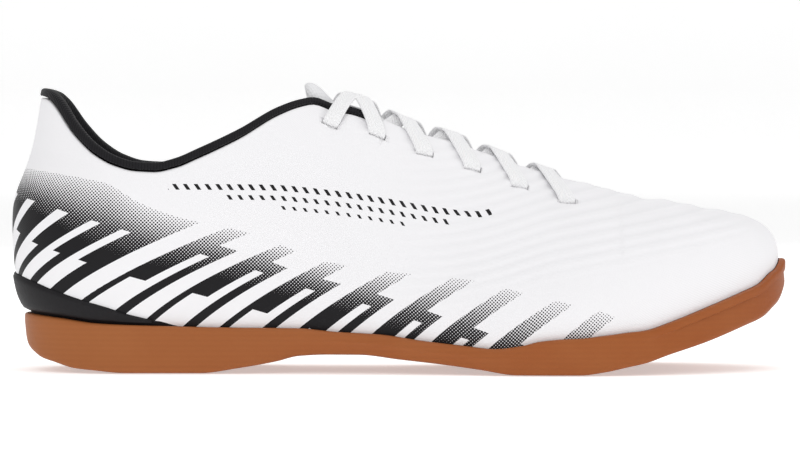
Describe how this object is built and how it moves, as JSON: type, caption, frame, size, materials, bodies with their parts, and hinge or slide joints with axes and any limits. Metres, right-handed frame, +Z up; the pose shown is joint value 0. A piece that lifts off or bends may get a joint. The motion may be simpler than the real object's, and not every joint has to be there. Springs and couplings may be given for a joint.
{
  "type": "indoor soccer shoe",
  "caption": "Low-cut right shoe for indoor soccer: a thin hollow upper with a lined collar, laced throat and padded tongue, standing in a rubber cup sole with toe spring and a raised arch.",
  "frame": {"origin": "centre of the bounding box, on the floor under the sole", "axes": "+X towards the toe, +Y towards the inner (medial) side of the right foot, +Z up"},
  "size_m": [0.2863, 0.101, 0.1071],
  "materials": {
    "gum_rubber": "matt gum rubber",
    "upper": "coated knit with a printed pattern",
    "collar": "ribbed knit",
    "heel_counter": "matt film",
    "tongue": "padded mesh",
    "insole": "brushed textile",
    "lace": "flat woven lace"
  },
  "bodies": {
    "root": {"outsole": "gum_rubber", "upper": "upper", "collar": "collar", "heel_counter": "heel_counter", "tongue": "tongue", "insole": "insole", "lace_cross_1": "lace", "lace_cross_2": "lace", "lace_cross_3": "lace", "lace_cross_4": "lace", "lace_cross_5": "lace"}
  },
  "joints": []
}
